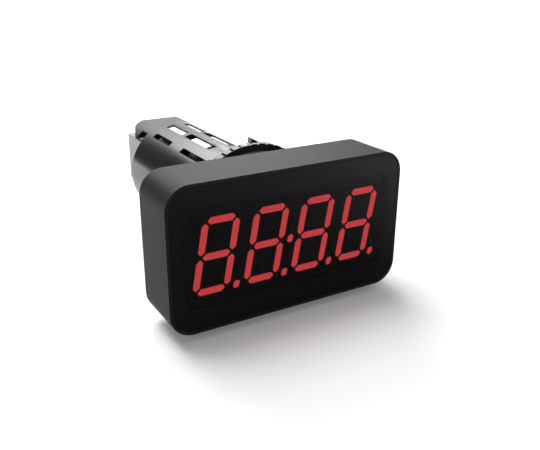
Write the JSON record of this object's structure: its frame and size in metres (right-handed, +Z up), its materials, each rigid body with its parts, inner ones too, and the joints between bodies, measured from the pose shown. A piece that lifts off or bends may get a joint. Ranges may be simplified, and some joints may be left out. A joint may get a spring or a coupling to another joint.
{
  "type": "digital panel meter",
  "caption": "Rectangular LED display head on a slotted round barrel with gasket, washer, serrated nut and a plug-in clamp terminal under a rear hood.",
  "frame": {"origin": "where the barrel's axis meets the plane of the head's back wall, at the panel's front", "axes": "+Y runs into the panel along the barrel, +Z is up, +X is to the right seen from the front"},
  "size_m": [0.048, 0.065, 0.03],
  "materials": {
    "housing_black": "satin black moulding",
    "window_smoke": "smoked, glossy",
    "display_black": "matt black",
    "figure_red": "red diffusing resin",
    "pin_metal": "tinned",
    "board_green": "solder mask",
    "screw_steel": "zinc plated",
    "key_grey": "matt",
    "switch_grey": "matt",
    "chip_black": "matt epoxy",
    "header_black": "matt",
    "gold": "gold plated",
    "can_aluminium": "bright",
    "ceramic": "fired",
    "carrier_white": "natural nylon",
    "socket_white": "moulded",
    "plug_grey": "moulded",
    "contact_bronze": "tinned bronze",
    "gasket_rubber": "matt",
    "washer_black": "satin",
    "nut_black": "satin black moulding"
  },
  "bodies": {
    "meter": {"front_housing": "housing_black", "front_window": "window_smoke", "led_display": "display_black", "centre_dot": "figure_red", "display_pins": "pin_metal", "display_board": "board_green", "board_screws": "screw_steel", "key_switches": "switch_grey", "display_driver": "chip_black", "main_board": "board_green", "link_header": "header_black", "link_pins": "gold", "controller_ic": "chip_black", "loop_regulator": "chip_black", "buffer_capacitor": "can_aluminium", "input_shunt": "chip_black", "protection_diode": "chip_black", "chip_parts": "ceramic", "board_carrier": "carrier_white", "terminal_header": "socket_white", "header_pins": "pin_metal", "sealing_gasket": "gasket_rubber", "digit_1": "figure_red", "digit_2": "figure_red", "digit_3": "figure_red", "digit_4": "figure_red"},
    "washer": {"thrust_washer": "washer_black"},
    "nut": {"fixing_nut": "nut_black"},
    "key_left": {"setting_key_left": "key_grey"},
    "key_right": {"setting_key_right": "key_grey"},
    "plug": {"plug_body": "plug_grey", "plug_contacts": "contact_bronze"},
    "screw_1": {"clamp_screw_1": "screw_steel"},
    "cage_1": {"clamp_cage_1": "screw_steel"},
    "screw_2": {"clamp_screw_2": "screw_steel"},
    "cage_2": {"clamp_cage_2": "screw_steel"},
    "screw_3": {"clamp_screw_3": "screw_steel"},
    "cage_3": {"clamp_cage_3": "screw_steel"},
    "screw_4": {"clamp_screw_4": "screw_steel"},
    "cage_4": {"clamp_cage_4": "screw_steel"}
  },
  "joints": [
    {"name": "nut_travel", "type": "slide", "parent": "meter", "child": "washer", "axis": [0, 1, 0], "range_m": [0, 0.0345]},
    {"name": "nut_turn", "type": "hinge", "parent": "washer", "child": "nut", "pos_m": [0, 0, 0], "axis": [0, 1, 0], "range_deg": [0, 8280]},
    {"name": "key_left_press", "type": "slide", "parent": "meter", "child": "key_left", "axis": [0, -1, 0], "range_m": [0, 0.0003], "stiffness_N_per_m": 400, "springref_m": -0.0003},
    {"name": "key_right_press", "type": "slide", "parent": "meter", "child": "key_right", "axis": [0, -1, 0], "range_m": [0, 0.0003], "stiffness_N_per_m": 400, "springref_m": -0.0003},
    {"name": "plug_pull", "type": "slide", "parent": "meter", "child": "plug", "axis": [0, 1, 0], "range_m": [0, 0.022]},
    {"name": "screw_1_turn", "type": "hinge", "parent": "plug", "child": "screw_1", "pos_m": [-0.00525, 0.0496, 0.005], "axis": [0, 0, 1], "range_deg": [-1620, 0]},
    {"name": "cage_1_lift", "type": "slide", "parent": "plug", "child": "cage_1", "axis": [0, 0, 1], "range_m": [0, 0.0018]},
    {"name": "screw_2_turn", "type": "hinge", "parent": "plug", "child": "screw_2", "pos_m": [-0.00175, 0.0496, 0.005], "axis": [0, 0, 1], "range_deg": [-1620, 0]},
    {"name": "cage_2_lift", "type": "slide", "parent": "plug", "child": "cage_2", "axis": [0, 0, 1], "range_m": [0, 0.0018]},
    {"name": "screw_3_turn", "type": "hinge", "parent": "plug", "child": "screw_3", "pos_m": [0.00175, 0.0496, 0.005], "axis": [0, 0, 1], "range_deg": [-1620, 0]},
    {"name": "cage_3_lift", "type": "slide", "parent": "plug", "child": "cage_3", "axis": [0, 0, 1], "range_m": [0, 0.0018]},
    {"name": "screw_4_turn", "type": "hinge", "parent": "plug", "child": "screw_4", "pos_m": [0.00525, 0.0496, 0.005], "axis": [0, 0, 1], "range_deg": [-1620, 0]},
    {"name": "cage_4_lift", "type": "slide", "parent": "plug", "child": "cage_4", "axis": [0, 0, 1], "range_m": [0, 0.0018]}
  ],
  "couplings": [
    {"joint": "nut_turn", "follows": "nut_travel", "rad_per_m": 4188.8},
    {"joint": "screw_1_turn", "follows": "cage_1_lift", "rad_per_m": -15708},
    {"joint": "screw_2_turn", "follows": "cage_2_lift", "rad_per_m": -15708},
    {"joint": "screw_3_turn", "follows": "cage_3_lift", "rad_per_m": -15708},
    {"joint": "screw_4_turn", "follows": "cage_4_lift", "rad_per_m": -15708}
  ]
}
